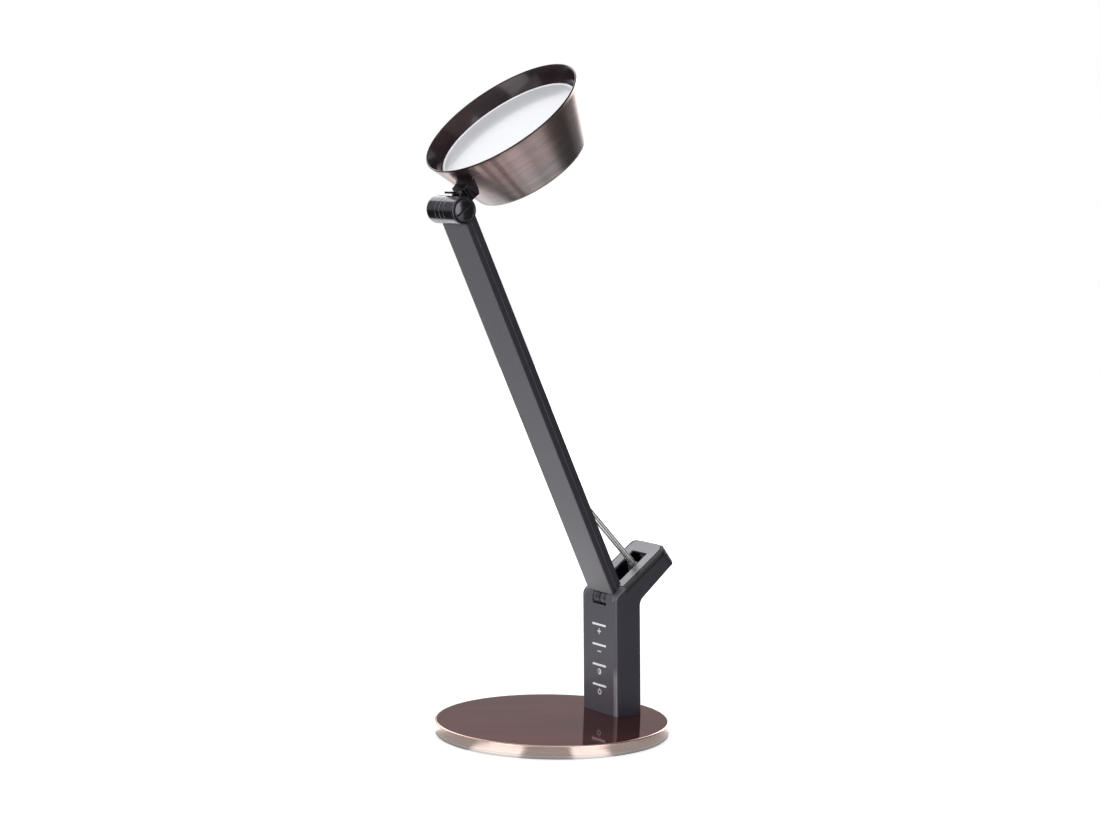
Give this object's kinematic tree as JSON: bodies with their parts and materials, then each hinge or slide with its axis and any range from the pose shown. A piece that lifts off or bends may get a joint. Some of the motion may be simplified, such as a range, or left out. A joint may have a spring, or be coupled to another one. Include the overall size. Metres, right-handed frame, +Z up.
{
  "type": "desk lamp",
  "caption": "Desk lamp with a round base, a Y-shaped touch-key column, a tilting arm with a sliding stay, and a round tilting head with a milky diffuser.",
  "frame": {"origin": "centre of the round base's underside, on the desk", "axes": "+Z up; the arm leans towards -Y, the front, where the touch keys are; +X is to the right seen from the front"},
  "size_m": [0.18, 0.206, 0.5091],
  "materials": {
    "copper": "brushed, dark copper plated",
    "iron": "raw",
    "black_plastic": "matte",
    "rubber": "matte",
    "steel": "zinc plated",
    "black_steel": "black",
    "stay_steel": "satin nickel",
    "grey_paint": "satin metallic grey",
    "dark_plastic": "satin",
    "silver": "satin",
    "light_bars": "milky light guide",
    "board": "green circuit board",
    "board_white": "white circuit board",
    "brass_part": "plain",
    "white_plastic": "matte",
    "diffuser": "milky, satin",
    "leds": "phosphor",
    "aluminium_part": "plain"
  },
  "bodies": {
    "stand": {"base_cover": "copper", "base_weight": "iron", "base_bottom_plate": "silver", "non_slip_sheet": "rubber", "bottom_plate_screws": "steel", "column_screws": "steel", "column_front_cover": "grey_paint", "column_rear_shell": "dark_plastic", "slot_trim_plate": "silver", "key_light_bars": "light_bars", "touch_board": "board", "touch_pads": "brass_part", "board_screws": "steel", "driver_board": "board", "power_jack": "black_plastic", "cover_screws": "black_steel", "hinge_frame": "steel", "hinge_frame_screws": "steel", "hinge_pin": "steel", "hinge_washers": "white_plastic", "stay_bracket": "black_steel", "stay_bracket_screws": "steel", "stay_foot_pin": "steel"},
    "arm": {"arm_knuckle": "dark_plastic", "arm_front_shell": "grey_paint", "arm_rear_shell": "dark_plastic", "arm_screws": "black_steel", "stay_guide": "steel", "joint_yoke": "dark_plastic", "joint_bolt": "steel", "joint_nut": "steel", "joint_end_cap": "dark_plastic", "joint_friction_rings": "white_plastic"},
    "stay": {"stay_bar_left": "stay_steel", "stay_bar_right": "stay_steel", "stay_spacer": "stay_steel", "stay_slider_pin": "steel"},
    "head": {"head_neck": "dark_plastic", "head_saddle": "black_plastic", "saddle_screws": "black_steel", "shade": "copper", "diffuser": "diffuser", "lamp_tray": "white_plastic", "led_board": "board_white", "led_chips": "leds", "heat_plate": "aluminium_part", "head_screws": "steel"}
  },
  "joints": [
    {"name": "arm_tilt", "type": "hinge", "parent": "stand", "child": "arm", "pos_m": [0, 0.0494, 0.1009], "axis": [1, 0, 0], "range_deg": [-8, 40]},
    {"name": "stay_swing", "type": "hinge", "parent": "stand", "child": "stay", "pos_m": [0, 0.07545, 0.12452], "axis": [1, 0, 0], "range_deg": [-8, 40]},
    {"name": "head_tilt", "type": "hinge", "parent": "arm", "child": "head", "pos_m": [0, -0.09663, 0.40084], "axis": [1, 0, 0], "range_deg": [-25, 140]}
  ],
  "couplings": [
    {"joint": "stay_swing", "follows": "arm_tilt", "ratio": 1}
  ]
}
